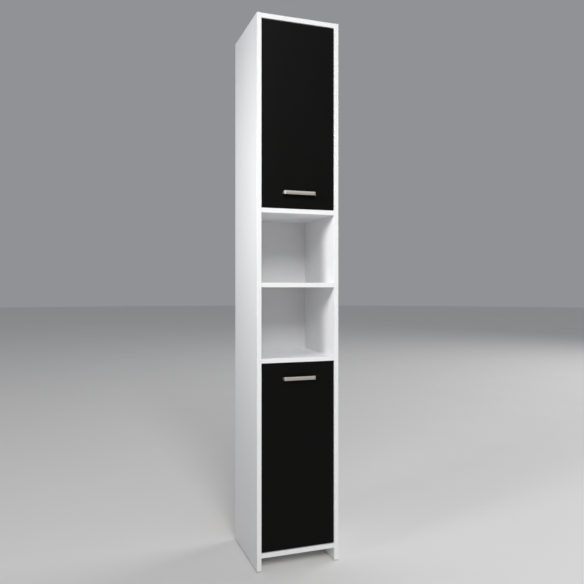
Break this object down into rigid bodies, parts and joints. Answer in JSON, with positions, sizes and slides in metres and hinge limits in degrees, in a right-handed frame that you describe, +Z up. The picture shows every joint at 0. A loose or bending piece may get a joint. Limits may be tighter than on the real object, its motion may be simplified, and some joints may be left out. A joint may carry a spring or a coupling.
{
  "type": "tall bathroom cabinet",
  "caption": "Tall narrow bathroom cabinet: white board carcass on side-panel feet, inset black doors above and below open niches, nickel bar handles.",
  "frame": {"origin": "on the floor, at the middle of the whole box, handles included", "axes": "+X to the right of someone facing the doors, +Y towards the wall behind, +Z up; the doors and handles are on the -Y side"},
  "size_m": [0.3, 0.3194, 1.9],
  "materials": {
    "white_melamine": "white melamine-faced particle board with white edge band, fine satin",
    "white_hardboard": "thin hardboard, white lacquered inside, brown behind",
    "black_melamine": "black melamine-faced particle board, satin",
    "brushed_nickel": "zinc casting, brushed nickel plating",
    "nickel_plated_steel": "pressed steel, bright nickel plating",
    "zinc_plated_steel": "zinc-plated steel",
    "zinc_casting": "bare zinc casting",
    "beech": "fluted beech dowel",
    "clear_plastic": "moulded translucent plastic",
    "black_plastic": "moulded dark plastic"
  },
  "bodies": {
    "cabinet": {"anti_tip_bracket": "zinc_plated_steel", "back_panel": "white_hardboard", "back_panel_nails": "zinc_plated_steel", "bottom_panel": "white_melamine", "bracket_screws": "zinc_plated_steel", "cam_bolts": "zinc_plated_steel", "cam_locks": "zinc_casting", "door_stops": "clear_plastic", "floor_glides": "black_plastic", "lower_adjustable_shelf": "white_melamine", "lower_adjusting_screws": "nickel_plated_steel", "lower_fixed_shelf": "white_melamine", "lower_hinge_arms": "nickel_plated_steel", "lower_mounting_plates": "nickel_plated_steel", "lower_plate_screws": "nickel_plated_steel", "lower_shelf_supports": "clear_plastic", "niche_shelf": "white_melamine", "side_panel_left": "white_melamine", "side_panel_right": "white_melamine", "top_panel": "white_melamine", "upper_adjustable_shelf": "white_melamine", "upper_adjusting_screws": "nickel_plated_steel", "upper_fixed_shelf": "white_melamine", "upper_hinge_arms": "nickel_plated_steel", "upper_mounting_plates": "nickel_plated_steel", "upper_plate_screws": "nickel_plated_steel", "upper_shelf_supports": "clear_plastic", "wood_dowels": "beech"},
    "upper_door_body": {"upper_door": "black_melamine", "upper_handle": "brushed_nickel", "upper_handle_screws": "nickel_plated_steel", "upper_hinge_cups": "nickel_plated_steel", "upper_cup_screws": "nickel_plated_steel", "upper_cup_pins": "nickel_plated_steel"},
    "upper_outer_link_body": {"upper_outer_links": "nickel_plated_steel", "upper_outer_link_pins": "nickel_plated_steel"},
    "upper_inner_link_body": {"upper_inner_links": "nickel_plated_steel", "upper_inner_link_pins": "nickel_plated_steel"},
    "lower_door_body": {"lower_door": "black_melamine", "lower_handle": "brushed_nickel", "lower_handle_screws": "nickel_plated_steel", "lower_hinge_cups": "nickel_plated_steel", "lower_cup_screws": "nickel_plated_steel", "lower_cup_pins": "nickel_plated_steel"},
    "lower_outer_link_body": {"lower_outer_links": "nickel_plated_steel", "lower_outer_link_pins": "nickel_plated_steel"},
    "lower_inner_link_body": {"lower_inner_links": "nickel_plated_steel", "lower_inner_link_pins": "nickel_plated_steel"}
  },
  "joints": [
    {"name": "upper_outer_link_swing", "type": "hinge", "parent": "cabinet", "child": "upper_outer_link_body", "pos_m": [0.0984, -0.11125, 1.561], "axis": [0, 0, 1], "range_deg": [-24.06, 0.5]},
    {"name": "upper_door_swing", "type": "hinge", "parent": "upper_outer_link_body", "child": "upper_door_body", "pos_m": [0.1157, -0.12505, 1.561], "axis": [0, 0, 1], "range_deg": [0, 118.56]},
    {"name": "upper_inner_link_swing", "type": "hinge", "parent": "cabinet", "child": "upper_inner_link_body", "pos_m": [0.0979, -0.12925, 1.561], "axis": [0, 0, 1], "range_deg": [-55.41, 0.5]},
    {"name": "lower_outer_link_swing", "type": "hinge", "parent": "cabinet", "child": "lower_outer_link_body", "pos_m": [0.0984, -0.11125, 0.385], "axis": [0, 0, 1], "range_deg": [-24.06, 0.5]},
    {"name": "lower_door_swing", "type": "hinge", "parent": "lower_outer_link_body", "child": "lower_door_body", "pos_m": [0.1157, -0.12505, 0.385], "axis": [0, 0, 1], "range_deg": [0, 118.56]},
    {"name": "lower_inner_link_swing", "type": "hinge", "parent": "cabinet", "child": "lower_inner_link_body", "pos_m": [0.0979, -0.12925, 0.385], "axis": [0, 0, 1], "range_deg": [-55.41, 0.5]}
  ],
  "couplings": [
    {"joint": "upper_outer_link_swing", "follows": "upper_door_swing", "ratio": -0.19872},
    {"joint": "upper_inner_link_swing", "follows": "upper_door_swing", "ratio": -0.46314},
    {"joint": "lower_outer_link_swing", "follows": "lower_door_swing", "ratio": -0.19872},
    {"joint": "lower_inner_link_swing", "follows": "lower_door_swing", "ratio": -0.46314}
  ]
}
